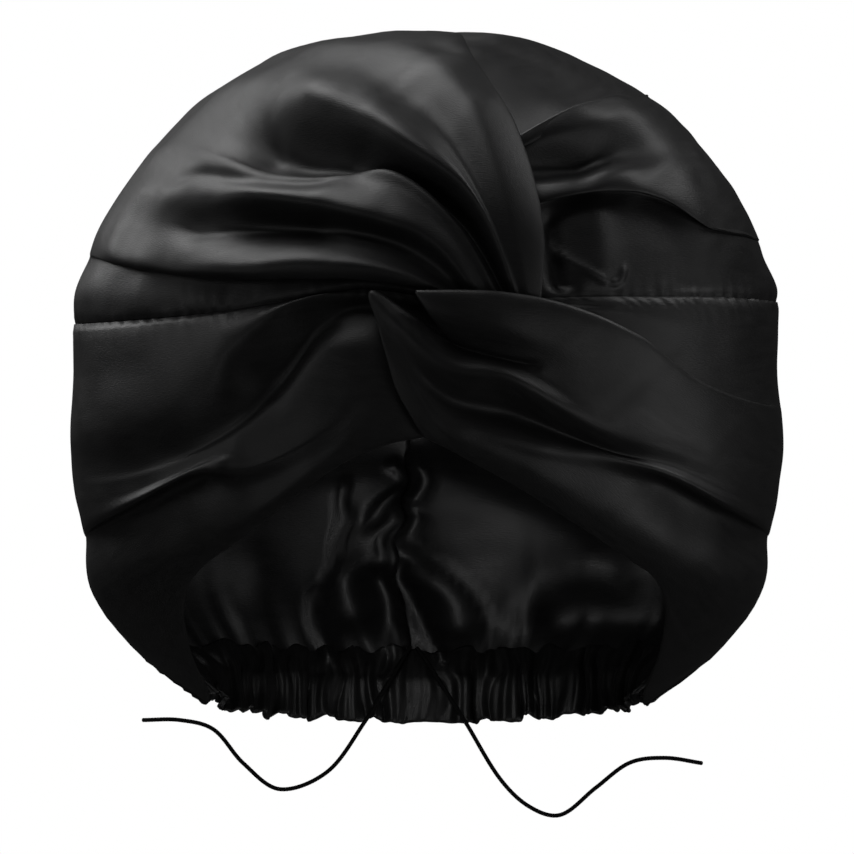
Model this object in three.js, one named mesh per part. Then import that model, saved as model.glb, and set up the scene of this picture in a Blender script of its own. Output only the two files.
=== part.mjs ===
// A hair treatment cap of black satin: a full crown in two halves, a head band in two halves that twist
// round each other at the front, a gathered elastic casing at the nape and the two ends of its drawstring.
// Millimetres, +Z up. The cap faces -Y, and left and right are as seen from the front.
// The origin is the middle of the head's girth, level with the band's lower edge at the forehead.
import * as THREE from "three";

// Driving dimensions
const CLOTH_THICKNESS = 1.2;
const SEAM_GAP = 0.7;
const BACK_SEAM_AZIMUTH = 183;
const RUCHE_DEPTH = 5;
const RUCHE_WIDTH = 26;
const RUCHE_RIPPLE = 2;
const RUCHE_FOLDS = 5;
const CASING_GATHERS = 26;
const CASING_INSET = 2.9;
const CASING_CORNER_AZIMUTH = 84;
const CORD_DIAMETER = 1.5;
const CORD_SIDES = 8;
const CORD_STEPS = 30;

// The form that the cloth lies on, as level sections. level is a latitude in degrees, half_width reaches
// to each side of the middle line, and front and back reach forwards and backwards from middle.
const FORM = [
  { level: -72, height: -106, half_width: 73, middle: 38, front: 24, back: 48 },
  { level: -65, height: -97, half_width: 84, middle: 36, front: 30, back: 53 },
  { level: -55, height: -80, half_width: 105, middle: 28, front: 60, back: 69 },
  { level: -45, height: -57, half_width: 121, middle: 18, front: 85, back: 88 },
  { level: -35, height: -30, half_width: 125, middle: 10, front: 97, back: 103 },
  { level: -25, height: -3, half_width: 127, middle: 5, front: 101, back: 112 },
  { level: -15, height: 20, half_width: 125, middle: 3, front: 102, back: 116 },
  { level: 0, height: 47, half_width: 124, middle: 2, front: 102, back: 116 },
  { level: 15, height: 72, half_width: 117, middle: 2, front: 97, back: 111 },
  { level: 30, height: 95.5, half_width: 102.5, middle: 3, front: 87, back: 100 },
  { level: 45, height: 115.5, half_width: 84, middle: 4, front: 73, back: 82 },
  { level: 60, height: 131, half_width: 61, middle: 5, front: 54, back: 58 },
  { level: 75, height: 140.8, half_width: 35, middle: 6, front: 31, back: 33 },
  { level: 90, height: 144.4, half_width: 0, middle: 6, front: 0, back: 0 },
];

// Where the crown is sewn to the band, on each side. The columns are those of the fold tables below.
const SEAM = {
  left: {
    fold: "seam", tip: [0, 46], near: [-20, 49.5], front: [-42, 46], cheek: [-71, 41.5], temple: [-96, 39],
    outer: [-130, 38], back: 44, proud: [-6, -3.5, -1.5, -0.8, 0, 1.8],
  },
  right: {
    fold: "seam", tip: [33, 46.5], near: [48, 46.5], front: [62, 47], cheek: [80, 47], temple: [102, 47],
    outer: [130, 45.5], back: 44, proud: [-5, -3.2, -2.2, -1.6, -0.4, 1.8],
  },
};

// Fold tables. Each row is one line along the cloth, from its tip in the twist to the seam at the back of
// the head. tip, near, front, cheek, temple and outer are x and z as seen from the front, and an outer x
// past the form lies on its outline. back is the height where the line meets the back seam. proud is how
// far the line stands off the form at those six places, then behind the outline and at the back if not 0.
const CROWN_LEFT = [
  { fold: "strip", tip: [2, 48.5], near: [-20, 51], front: [-42, 49.5], cheek: [-71, 47],
    temple: [-96, 47.5], outer: [-130, 50], back: 51, proud: [-5.5, -2.5, -0.6, -0.2, 0.6, 2.4] },
  { fold: "tuck", tip: [4, 51], near: [-20, 53.5], front: [-42, 55], cheek: [-71, 55.5], temple: [-96, 58],
    outer: [-130, 61], back: 57, proud: [-4, -2.5, -1.4, -0.8, -0.2, 0.6] },
  { fold: "pleat_edge", tip: [6, 49.5], near: [-20, 52], front: [-42, 52.5], cheek: [-71, 52.5],
    temple: [-96, 55.5], outer: [-130, 64], back: 63, proud: [-1, 1, 2, 2.5, 2.5, 0.8] },
  { fold: "lower_swell", tip: [9, 48.5], near: [-13, 58], front: [-38.5, 62], cheek: [-67, 59.5],
    temple: [-92.5, 60.5], outer: [-130, 70], back: 70, proud: [-1, 3, 4.5, 5, 4, 0.6] },
  { fold: "lower_valley", tip: [13, 47.5], near: [1, 59.5], front: [-20, 70], cheek: [-56, 74.5],
    temple: [-82, 72], outer: [-130, 78], back: 79, proud: [-3, -4.5, -4.5, -3.5, -1, 0.2] },
  { fold: "lower_crest", tip: [18, 47], near: [5, 64], front: [-17, 75], cheek: [-53, 81],
    temple: [-85, 81.7], outer: [-130, 88], back: 88, proud: [-1, 2.5, 3.5, 3.8, 3, 0.4] },
  { fold: "wrinkle", tip: [22, 47], near: [8.5, 68.5], front: [-15, 84.5], cheek: [-49, 86],
    temple: [-81.5, 89.5], outer: [-130, 95], back: 94, proud: [-1.2, 2.2, 3.8, 3.2, 2.4, 0.3] },
  { fold: "middle_crest", tip: [25, 47], near: [10.5, 71.5], front: [-13, 90], cheek: [-46, 89.5],
    temple: [-72.5, 94], outer: [-130, 102], back: 100, proud: [-1, 2, 2.6, 4, 2.6, 0.4] },
  { fold: "upper_valley", tip: [28.5, 47], near: [14, 72.5], front: [-8, 89.5], cheek: [-43.5, 95],
    temple: [-60, 97], outer: [-130, 113], back: 106, proud: [-4, -6, -6.5, -5, 0.5, 0.2] },
  { fold: "upper_crest", tip: [32, 47], near: [17.5, 76], front: [-3, 94], cheek: [-40, 114.5],
    temple: [-57, 120.5], outer: [-130, 122], back: 111, proud: [-1, 3, 5.5, 6.5, 3, 0.4] },
  { fold: "shoulder", tip: [34, 47.2], near: [21, 75.5], front: [4, 104.5], cheek: [-20, 125],
    temple: [-35, 134], outer: [-130, 136], back: 119, proud: [-0.7, 5, 7, 5.5, 3, 0.1] },
  { fold: "roll", tip: [36.5, 47.5], near: [28, 77.5], front: [15.5, 110], cheek: [1, 129],
    temple: [-4, 137], outer: [-5, 144.2], back: 125, proud: [-0.5, 5, 6.8, 5, 2, -0.4] },
  { fold: "roll_edge", tip: [40, 50], near: [40, 70], front: [32, 101.5], cheek: [21, 122.5],
    temple: [15, 133], outer: [10, 143.8], back: 130, proud: [0, 3.6, 4.6, 3.8, 1.8, -0.8, 0, 0.3] },
  { fold: "roll_under", tip: [37, 53], near: [35, 71.5], front: [26, 101], cheek: [15.5, 121],
    temple: [10, 131.5], outer: [4, 144.1], back: 132, proud: [0, 0.6, 0.6, 0.2, -0.4, -1.6, -0.9, 0] },
];

const CROWN_RIGHT = [
  { fold: "strip", tip: [33, 50.5], near: [48, 50], front: [62, 51], cheek: [80, 52], temple: [102, 52],
    outer: [130, 51], back: 51, proud: [-5, -3.4, -2, -1.4, 0, 2.4] },
  { fold: "recess", tip: [33, 60], near: [46, 60.5], front: [62, 63], cheek: [80, 64], temple: [100, 60.5],
    outer: [130, 60], back: 58, proud: [-5, -4.5, -2.4, -1.2, 0.4, 1] },
  { fold: "tuck", tip: [33.5, 76], near: [46, 82.5], front: [62, 84], cheek: [80, 81.5], temple: [100, 73],
    outer: [130, 67], back: 64, proud: [-4.5, -4.2, -2.4, -1, 0.2, 0.4] },
  { fold: "pleat_edge", tip: [32.5, 79], near: [46, 80.5], front: [62, 81.5], cheek: [80, 79],
    temple: [100, 70], outer: [130, 69], back: 70, proud: [-4, 1, 3, 4, 3.6, 0.6] },
  { fold: "lower_crest", tip: [31, 85], near: [46, 85.5], front: [62, 87.5], cheek: [80, 88],
    temple: [98.5, 84.5], outer: [130, 83], back: 82, proud: [-3.5, 2, 4.8, 5.4, 4.2, 0.5] },
  { fold: "hollow", tip: [28.5, 94], near: [42.5, 95], front: [59, 97], cheek: [77, 100],
    temple: [91, 101.5], outer: [130, 102], back: 95, proud: [-3.5, -3.2, 0.8, 4, 3.2, 0.4] },
  { fold: "upper_edge", tip: [26.5, 101], near: [37, 105], front: [50, 110], cheek: [62.5, 114],
    temple: [73.5, 117], outer: [130, 119.5], back: 108, proud: [-3.5, 2, 4.5, 4.5, 2.8, 0.6] },
  { fold: "upper_tuck", tip: [24.5, 98.5], near: [37, 101.5], front: [50.5, 106.5], cheek: [63.5, 110.5],
    temple: [74.5, 114], outer: [130, 121.5], back: 113, proud: [-4.5, -3, -1.5, -1, -0.5, 0.3] },
  { fold: "top", tip: [21, 113.5], near: [32, 116.5], front: [42.5, 120.5], cheek: [53.5, 124],
    temple: [61.5, 126.5], outer: [130, 129], back: 119, proud: [-4.5, -3, -1.5, -1, -0.5, 0, -0.4, -1.2] },
  { fold: "top_inner", tip: [15.5, 126], near: [23, 130.5], front: [29, 133.5], cheek: [34.5, 136],
    temple: [38.5, 137.5], outer: [130, 138], back: 126, proud: [-4, -3, -1.8, -1, -0.4, 0.2, -0.8, -2.2] },
  { fold: "top_rise", tip: [12, 130], near: [16, 134.5], front: [19.5, 137.5], cheek: [22, 139.6],
    temple: [23.5, 141], outer: [25, 142.3], back: 129,
    proud: [-3.8, -2.8, -1.8, -1.2, -0.8, -0.4, -1.2, -2.6] },
  { fold: "top_seam", tip: [8, 133], near: [7, 137], front: [5, 140], cheek: [3, 142], temple: [1.5, 143.3],
    outer: [0, 144.2], back: 131, proud: [-4, -3.8, -3.8, -3.8, -3.8, -4, -3.8, -3] },
];

const BAND_LEFT = [
  { fold: "upper_ridge", tip: [0, 43], near: [-20, 47], front: [-44, 44.5], cheek: [-65, 30],
    temple: [-83, 14.5], outer: [-130, 4], back: 20, proud: [-6, -4, 0, 4.2, 4.4, 1] },
  { fold: "hollow", tip: [0, 37], near: [-22, 42.5], front: [-38.5, 36], cheek: [-56, 16],
    temple: [-80, -3.5], outer: [-130, -10], back: 0, proud: [-6.5, -6.5, -4.5, -2.5, 0, 0.8] },
  { fold: "arc", tip: [0.5, 31], near: [-19.5, 30.5], front: [-36.5, 26], cheek: [-54.5, 7],
    temple: [-78, -8], outer: [-130, -18], back: -10, proud: [-5.5, -1, 0.5, 1, 1.6, 0.8] },
  { fold: "lower_ridge", tip: [1, 25], near: [-18.5, 22.5], front: [-35, 5.5], cheek: [-56, -11],
    temple: [-76, -14.5], outer: [-130, -26], back: -20, proud: [-5, -0.5, 2, 2.5, 2.6, 0.6] },
  { fold: "crease_lip", tip: [2, 16], near: [-16.5, 14.5], front: [-33, 0], cheek: [-58, -12.5],
    temple: [-85, -16], outer: [-130, -37], back: -34, proud: [-4.5, 0, 2, 2.5, 4, 1.6] },
  { fold: "crease", tip: [4, 10], near: [-16, 10], front: [-33, -4.5], cheek: [-60, -19],
    temple: [-87, -20.5], outer: [-130, -41], back: -48, proud: [-4, 0.5, 2, 1.4, -3, -2.6] },
  { fold: "swell", tip: [5, 4], near: [-15, 3.5], front: [-33, -9], cheek: [-62, -29], temple: [-85, -39.5],
    outer: [-130, -60], back: -70, proud: [-4, 0.5, 2, 2.5, 1.4, 0] },
  { fold: "face_edge", tip: [6, -1], near: [-15, -4.5], front: [-35, -14.5], cheek: [-63.5, -36],
    temple: [-86, -56], outer: [-83, -95], back: -90, proud: [-4, -0.5, 0.8, 1, 0, -0.5] },
];

const BAND_RIGHT = [
  { fold: "gather", tip: [33, 43], near: [51.5, 43.5], front: [68, 41.5], cheek: [86, 38], temple: [104, 36],
    outer: [130, 34], back: 32, proud: [-5, -2.8, -1.4, -0.6, 0.4, 1.4] },
  { fold: "tuck", tip: [8, 40.5], near: [26.5, 43], front: [48, 40.5], cheek: [71.5, 30], temple: [95, 14],
    outer: [130, 14], back: 20, proud: [-0.5, -1.5, -2.5, -1.5, 0.3, 0.6] },
  { fold: "top_edge", tip: [-3, 48], near: [23, 47.5], front: [48, 43], cheek: [73, 32.5],
    temple: [96.5, 16], outer: [130, 5], back: 9, proud: [3.5, 4.5, 4, 3.5, 2, 0.8] },
  { fold: "upper_ridge", tip: [-1, 43.5], near: [19, 38], front: [44.5, 30.5], cheek: [71.5, 17],
    temple: [95, 3.5], outer: [130, -3], back: -2, proud: [3, 5, 4.5, 3.5, 2, 1] },
  { fold: "twist_crease", tip: [-9, 44], near: [10, 29.5], front: [30, 24], cheek: [62.5, 7],
    temple: [91, -3.5], outer: [130, -10], back: -12, proud: [-1.5, -0.5, 1.5, 3.2, 2.2, 1] },
  { fold: "lower_ridge", tip: [-18, 48], near: [5, 24.5], front: [28, 18], cheek: [60.5, 0.5],
    temple: [89.5, -8], outer: [130, -17], back: -21, proud: [2, 4.5, 4.5, 3, 2.3, 0.9] },
  { fold: "soft_valley", tip: [-16, 36], near: [5, 13.5], front: [32, 5.5], cheek: [62.5, -6.5],
    temple: [91, -14.5], outer: [130, -27], back: -30, proud: [2.5, 3.3, 1.8, 2.2, 2.5, 0.6] },
  { fold: "crease_lip", tip: [-13, 25], near: [6.5, 6.5], front: [35.5, -3.5], cheek: [66, -10],
    temple: [92.5, -19.5], outer: [130, -37], back: -40, proud: [3, 3.5, 2.5, 2.8, 4, 1.6] },
  { fold: "crease", tip: [-10.5, 16], near: [7.5, 2], front: [36.5, -9], cheek: [67, -16.5],
    temple: [93, -24], outer: [130, -41], back: -52, proud: [3, 3.5, 2.6, 1.4, -3, -2.6] },
  { fold: "swell", tip: [-6.5, 8], near: [9, -2], front: [38, -15], cheek: [66, -30.5],
    temple: [88.5, -42.5], outer: [130, -60], back: -70, proud: [3, 3.3, 2.8, 2.5, 1.4, 0] },
  { fold: "face_edge", tip: [-1, -1], near: [11.5, -7.5], front: [39, -23], cheek: [69.5, -43],
    temple: [85.5, -58.5], outer: [83, -95], back: -90, proud: [2, 2, 1.2, 0.8, 0, -0.5] },
];

// The nape casing from its sewn edge down to its ruffled edge. corner and middle are heights at its ends
// and at the back, inset is how far it lies inside the form, and ripple is the depth of its gathers.
const CASING = [
  { line: "sewn_edge", corner: -79.5, middle: -87.5, inset: CASING_INSET, ripple: 0.5 },
  { line: "elastic", corner: -87, middle: -95.5, inset: CASING_INSET + 1.2, ripple: 0.9 },
  { line: "flare", corner: -92, middle: -101, inset: CASING_INSET + 0.6, ripple: 2.2 },
  { line: "ruffle", corner: -96, middle: -106, inset: CASING_INSET + 0.3, ripple: 2.8 },
];

// Each drawstring end as it hangs: x and z as seen from the front, and y for how far back it lies.
const CORD_LEFT = [
  { place: "leaves_seam", x: -6.2, y: 93.6, z: -80.6 },
  { place: "over_casing", x: -9, y: 88.1, z: -85 },
  { place: "over_elastic", x: -11.7, y: 84.6, z: -89.5 },
  { place: "inside_hem", x: -14.5, y: 80.8, z: -94 },
  { place: "below_hem", x: -23, y: 75, z: -108 },
  { place: "fall", x: -36.5, y: 74, z: -126 },
  { place: "bottom", x: -54, y: 74, z: -132.5 },
  { place: "rise", x: -67.5, y: 74, z: -123 },
  { place: "shoulder", x: -78.5, y: 74, z: -110.5 },
  { place: "level", x: -91, y: 74, z: -107 },
  { place: "cut_end", x: -105, y: 74, z: -107 },
];
const CORD_RIGHT = [
  { place: "leaves_seam", x: -3.8, y: 93.7, z: -80.7 },
  { place: "over_casing", x: -0.5, y: 88.6, z: -85 },
  { place: "over_elastic", x: 2.6, y: 84.9, z: -89.5 },
  { place: "inside_hem", x: 5.5, y: 81.3, z: -94 },
  { place: "below_hem", x: 14.5, y: 76.4, z: -108 },
  { place: "fall", x: 27, y: 75, z: -128.5 },
  { place: "turn", x: 38, y: 75, z: -139 },
  { place: "bottom", x: 49.5, y: 75, z: -142 },
  { place: "rise", x: 62.5, y: 75, z: -132 },
  { place: "shoulder", x: 75, y: 75, z: -122.8 },
  { place: "level", x: 88, y: 75, z: -121 },
  { place: "cut_end", x: 102, y: 75, z: -123 },
];

// Where each station lies along the cloth, from the twist to the back seam.
const STATIONS = [0, 0.1, 0.22, 0.34, 0.46, 0.6, 0.8, 1];
const FRONT_STATIONS = ["tip", "near", "front", "cheek", "temple", "outer"];
// The cloth is worked out at these places along its length, closer together at the front.
const ALONG = [
  0, 0.035, 0.07, 0.105, 0.14, 0.18, 0.22, 0.26, 0.3, 0.34, 0.38, 0.42, 0.46, 0.51, 0.56, 0.6, 0.66, 0.72,
  0.78, 0.84, 0.89, 0.93, 0.965, 1,
];
const STEPS_PER_FOLD = 2;

// A smooth line through values at rising places: a cubic between each two, whose slopes are taken across the
// neighbours on either side.
function smooth(places, values, at) {
  const last = places.length - 1;
  let i = 0;
  while (i < last - 1 && at > places[i + 1]) i += 1;
  const slope = (k) => {
    const before = Math.max(k - 1, 0);
    const after = Math.min(k + 1, last);
    return (values[after] - values[before]) / (places[after] - places[before]);
  };
  const width = places[i + 1] - places[i];
  const u = (at - places[i]) / width;
  const rise = values[i + 1] - values[i];
  const first = slope(i) * width;
  const second = slope(i + 1) * width;
  return values[i] + u * (first + u * (3 * rise - 2 * first - second + u * (first + second - 2 * rise)));
}

// The same for vectors, axis by axis.
function smoothVector(places, vectors, at) {
  return new THREE.Vector3(...["x", "y", "z"].map((axis) => smooth(places, vectors.map((v) => v[axis]), at)));
}

const FORM_LEVELS = FORM.map((row) => row.level);
const formColumn = (name) => FORM.map((row) => row[name]);
const FORM_COLUMNS = Object.fromEntries(
  ["height", "half_width", "middle", "front", "back"].map((name) => [name, formColumn(name)]),
);
const formAt = (name, level) => smooth(FORM_LEVELS, FORM_COLUMNS[name], level);

// The level of a height on the form, found by halving.
function levelOf(height) {
  let low = FORM_LEVELS[0];
  let high = FORM_LEVELS[FORM_LEVELS.length - 1];
  for (let n = 0; n < 40; n += 1) {
    const middle = (low + high) / 2;
    if (formAt("height", middle) < height) low = middle;
    else high = middle;
  }
  return (low + high) / 2;
}

// The unit direction of an azimuth and a level, in degrees. Azimuth 0 faces -Y and 90 faces +X.
function direction(azimuth, level) {
  const a = THREE.MathUtils.degToRad(azimuth);
  const e = THREE.MathUtils.degToRad(level);
  return new THREE.Vector3(Math.cos(e) * Math.sin(a), -Math.cos(e) * Math.cos(a), Math.sin(e));
}

const levelIn = (d) => THREE.MathUtils.radToDeg(Math.asin(THREE.MathUtils.clamp(d.z, -1, 1)));
const azimuthIn = (d) => THREE.MathUtils.radToDeg(Math.atan2(d.x, -d.y));

// The direction of a point on the front of the form, from x and z as seen from the front.
function frontDirection([x, z]) {
  const level = levelOf(z);
  const share = THREE.MathUtils.clamp(x / Math.max(formAt("half_width", level), 1e-6), -1, 1);
  return direction(THREE.MathUtils.radToDeg(Math.asin(share)), level);
}

// The point of the form in a direction.
function formPoint(d) {
  const level = levelIn(d);
  const a = THREE.MathUtils.degToRad(azimuthIn(d));
  const reach = formAt(Math.cos(a) > 0 ? "front" : "back", level);
  return new THREE.Vector3(
    formAt("half_width", level) * Math.sin(a),
    formAt("middle", level) - reach * Math.cos(a),
    formAt("height", level),
  );
}

// The point that stands proud of the form in a direction, square to its surface.
function standing(d, proud) {
  const across = new THREE.Vector3(0, 0, 1).cross(d);
  if (across.lengthSq() < 1e-8) across.set(1, 0, 0);
  across.normalize();
  const up = d.clone().cross(across);
  const step = 0.004;
  const moved = (v, sign) => formPoint(d.clone().addScaledVector(v, sign * step).normalize());
  const alongAcross = moved(across, 1).sub(moved(across, -1));
  const alongUp = moved(up, 1).sub(moved(up, -1));
  const normal = alongAcross.cross(alongUp).normalize();
  return formPoint(d).addScaledVector(normal, proud);
}

// One row of a fold table as directions at the stations. side is -1 for left and 1 for right.
function foldLine(row, side) {
  const stations = FRONT_STATIONS.map((name) => frontDirection(row[name]));
  const backLevel = levelOf(row.back);
  const gapAngle = THREE.MathUtils.radToDeg(SEAM_GAP / 2 / formAt("half_width", backLevel));
  const seamAzimuth = side > 0 ? BACK_SEAM_AZIMUTH : BACK_SEAM_AZIMUTH - 360;
  const back = direction(seamAzimuth - side * gapAngle, backLevel);
  const outer = stations[stations.length - 1];
  const between = outer.clone().add(back);
  const rear = direction(azimuthIn(between), (levelIn(outer) + backLevel) / 2);
  const proud = stations.concat(rear, back).map((_, k) => row.proud[k] ?? 0);
  return { directions: [...stations, rear, back], proud };
}

// How far the ruched back seam draws the band in: a valley with folds across it that die away from the seam.
function ruche(point, seamX) {
  const distance = Math.abs(point.x - seamX);
  const low = THREE.MathUtils.smoothstep(point.z, -84, -58);
  const high = 1 - THREE.MathUtils.smoothstep(point.z, 15, 42);
  const near = Math.exp(-((distance / RUCHE_WIDTH) ** 2));
  const ripple = RUCHE_RIPPLE * Math.cos((2 * Math.PI * RUCHE_FOLDS * (point.z + 84)) / 126);
  return point.y > 0 ? low * high * near * (ripple - RUCHE_DEPTH) : 0;
}

// The grid of points of a cloth half: fold lines joined smoothly to each other.
function clothGrid(rows, side, ruched) {
  const lines = rows.map((row) => foldLine(row, side));
  const rowPlaces = rows.map((_, k) => k);
  const seamX = Math.sin(THREE.MathUtils.degToRad(BACK_SEAM_AZIMUTH)) * formAt("half_width", -25);
  return ALONG.map((s) => {
    const at = lines.map(({ directions, proud }) => ({
      d: smoothVector(STATIONS, directions, s),
      proud: smooth(STATIONS, proud, s),
    }));
    const column = [];
    for (let n = 0; n <= (rows.length - 1) * STEPS_PER_FOLD; n += 1) {
      const t = n / STEPS_PER_FOLD;
      const d = smoothVector(rowPlaces, at.map((p) => p.d), t).normalize();
      const proud = smooth(rowPlaces, at.map((p) => p.proud), t);
      const drawn = ruched ? ruche(formPoint(d), seamX) : 0;
      column.push(standing(d, proud + drawn));
    }
    return column;
  });
}

// A closed wall of cloth: the grid is its outer face, and its inner face lies one thickness inside.
function clothWall(grid) {
  const columns = grid.length;
  const rows = grid[0].length;
  const { clamp } = THREE.MathUtils;
  const point = (i, j) => grid[clamp(i, 0, columns - 1)][clamp(j, 0, rows - 1)];
  const normalAt = (i, j) => {
    const along = point(i + 1, j).clone().sub(point(i - 1, j));
    const across = point(i, j + 1).clone().sub(point(i, j - 1));
    return along.cross(across).normalize();
  };
  const middle = [Math.floor(columns / 2), Math.floor(rows / 2)];
  const outward = point(...middle).clone().setZ(0);
  const facing = Math.sign(normalAt(...middle).dot(outward));
  const positions = [];
  grid.forEach((column) => column.forEach((p) => positions.push(p.x, p.y, p.z)));
  grid.forEach((column, i) =>
    column.forEach((p, j) => {
      const q = p.clone().addScaledVector(normalAt(i, j), -facing * CLOTH_THICKNESS);
      positions.push(q.x, q.y, q.z);
    }),
  );
  const outer = (i, j) => i * rows + j;
  const inner = (i, j) => columns * rows + i * rows + j;
  const index = [];
  const quad = (a, b, c, d) => (facing > 0 ? index.push(a, b, c, a, c, d) : index.push(a, c, b, a, d, c));
  for (let i = 0; i < columns - 1; i += 1) {
    for (let j = 0; j < rows - 1; j += 1) {
      quad(outer(i, j), outer(i + 1, j), outer(i + 1, j + 1), outer(i, j + 1));
      quad(inner(i, j), inner(i, j + 1), inner(i + 1, j + 1), inner(i + 1, j));
    }
    quad(outer(i, 0), inner(i, 0), inner(i + 1, 0), outer(i + 1, 0));
    quad(outer(i, rows - 1), outer(i + 1, rows - 1), inner(i + 1, rows - 1), inner(i, rows - 1));
  }
  for (let j = 0; j < rows - 1; j += 1) {
    quad(outer(0, j), outer(0, j + 1), inner(0, j + 1), inner(0, j));
    quad(outer(columns - 1, j), inner(columns - 1, j), inner(columns - 1, j + 1), outer(columns - 1, j + 1));
  }
  const geometry = new THREE.BufferGeometry();
  geometry.setAttribute("position", new THREE.Float32BufferAttribute(positions, 3));
  geometry.setIndex(index);
  geometry.computeVertexNormals();
  return geometry;
}

// The seam row, lifted by half the seam's gap for the crown or lowered by it for the band.
function seamRow(side, lift) {
  const row = SEAM[side];
  const raised = FRONT_STATIONS.map((name) => [name, [row[name][0], row[name][1] + lift]]);
  return { ...row, ...Object.fromEntries(raised), back: row.back + lift };
}

// The gathered casing round the nape: level lines with ripples, from one corner of the face opening round
// the back to the other.
function casingGrid() {
  const steps = CASING_GATHERS * 4;
  const grid = [];
  for (let i = 0; i <= steps; i += 1) {
    const u = i / steps;
    const azimuth = THREE.MathUtils.lerp(CASING_CORNER_AZIMUTH, 360 - CASING_CORNER_AZIMUTH, u);
    const toMiddle = Math.sin(Math.PI * u);
    const flat = THREE.MathUtils.smoothstep(Math.min(u, 1 - u), 0.06, 0.25);
    const wave = (0.2 + 0.8 * flat) * Math.cos(2 * Math.PI * CASING_GATHERS * u);
    grid.push(
      CASING.map(({ corner, middle, inset, ripple }) => {
        const height = THREE.MathUtils.lerp(corner, middle, toMiddle);
        return standing(direction(azimuth, levelOf(height)), ripple * wave - inset);
      }),
    );
  }
  return grid;
}

// A drawstring end: a round cord carried along its route.
function cord(route) {
  const path = new THREE.CatmullRomCurve3(route.map(({ x, y, z }) => new THREE.Vector3(x, y, z)));
  const section = new THREE.Shape();
  for (let k = 0; k < CORD_SIDES; k += 1) {
    const turn = (2 * Math.PI * k) / CORD_SIDES;
    const corner = [(CORD_DIAMETER / 2) * Math.cos(turn), (CORD_DIAMETER / 2) * Math.sin(turn)];
    if (k === 0) section.moveTo(...corner);
    else section.lineTo(...corner);
  }
  section.closePath();
  return new THREE.ExtrudeGeometry(section, { steps: CORD_STEPS, extrudePath: path, curveSegments: 1 });
}

const satin = new THREE.MeshStandardMaterial({ color: 0x0d0d0e, roughness: 0.38, metalness: 0 });
const cording = new THREE.MeshStandardMaterial({ color: 0x0a0a0a, roughness: 0.8, metalness: 0 });

const cap = new THREE.Group();
function add(name, geometry, material) {
  const mesh = new THREE.Mesh(geometry, material);
  mesh.name = name;
  cap.add(mesh);
}

add("crown_left", clothWall(clothGrid([seamRow("left", SEAM_GAP / 2), ...CROWN_LEFT], -1, false)), satin);
add("crown_right", clothWall(clothGrid([seamRow("right", SEAM_GAP / 2), ...CROWN_RIGHT], 1, false)), satin);
add("band_left", clothWall(clothGrid([seamRow("left", -SEAM_GAP / 2), ...BAND_LEFT], -1, true)), satin);
add("band_right", clothWall(clothGrid([seamRow("right", -SEAM_GAP / 2), ...BAND_RIGHT], 1, true)), satin);
add("nape_casing", clothWall(casingGrid()), satin);
add("drawstring_left", cord(CORD_LEFT), cording);
add("drawstring_right", cord(CORD_RIGHT), cording);

export default cap;
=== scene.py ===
"""A hair treatment cap of black satin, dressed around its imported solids.

The cap has two gathered crown halves, a head band in two halves that twist round each other at the front, a
gathered casing at the nape and two drawstring ends. Left and right are as seen from the front.
"""

import bpy
import numpy as np
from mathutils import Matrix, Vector


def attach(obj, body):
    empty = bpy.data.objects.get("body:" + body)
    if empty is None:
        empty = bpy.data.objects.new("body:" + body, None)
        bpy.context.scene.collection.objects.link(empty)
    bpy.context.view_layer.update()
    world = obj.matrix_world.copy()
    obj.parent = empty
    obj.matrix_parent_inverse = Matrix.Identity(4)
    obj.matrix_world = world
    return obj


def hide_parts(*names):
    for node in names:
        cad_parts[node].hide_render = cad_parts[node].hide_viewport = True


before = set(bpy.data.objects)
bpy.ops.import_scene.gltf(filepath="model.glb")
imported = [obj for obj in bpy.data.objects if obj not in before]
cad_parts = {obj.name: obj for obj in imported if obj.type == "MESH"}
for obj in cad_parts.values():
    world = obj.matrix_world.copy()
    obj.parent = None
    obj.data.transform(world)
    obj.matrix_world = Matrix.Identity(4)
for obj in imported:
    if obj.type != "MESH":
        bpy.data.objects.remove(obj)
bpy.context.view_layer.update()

# Crown: two halves of thin black satin, gathered into the twist at the front and sewn to each other down the
# back. The left half rolls over the right one and ends in a deep pleat above the seam to the band.
# Sizes are in millimetres, and x and z are as seen from the front.
MM = 0.001
TINY = 1e-9
BACK_SEAM_AZIMUTH = 183
SEAM_LAP = 0.7
STATIONS = np.array([0, 0.1, 0.22, 0.34, 0.46, 0.6, 0.8, 1])
FRONT_STATIONS = ("tip", "near", "front", "cheek", "temple", "outer")
POINTS_ALONG = 220
POINTS_PER_FOLD = 10
FINE_POINTS = 4001
CURVE_POINTS = 61
BELL_REACH = 3
NORMAL_STEP = 0.004
OUTLINE_CHANGE = (-0.05, 0.1)
CLOTH_THICKNESS = 0.5

# The form that the cloth lies on, as level sections from the nape to the top of the crown.
FORM_COLUMNS = ("level", "height", "half_width", "middle", "front", "back")
FORM_ROWS = np.array([
    (-78, -114, 66, 39.5, 19, 44),
    (-72, -106, 73, 38, 24, 48),
    (-65, -97, 84, 36, 30, 53),
    (-55, -80, 105, 28, 60, 69),
    (-45, -57, 121, 18, 85, 88),
    (-35, -30, 125, 10, 97, 103),
    (-25, -3, 127, 5, 101, 112),
    (-15, 20, 125, 3, 102, 116),
    (0, 47, 124, 2, 102, 116),
    (15, 72, 117, 2, 97, 111),
    (30, 95.5, 102.5, 3, 87, 100),
    (45, 115.5, 84, 4, 73, 82),
    (60, 131, 61, 5, 54, 58),
    (75, 140.8, 35, 6, 31, 33),
    (90, 144.4, 0, 6, 0, 0),
])
FORM = dict(zip(FORM_COLUMNS, FORM_ROWS.T))


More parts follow.
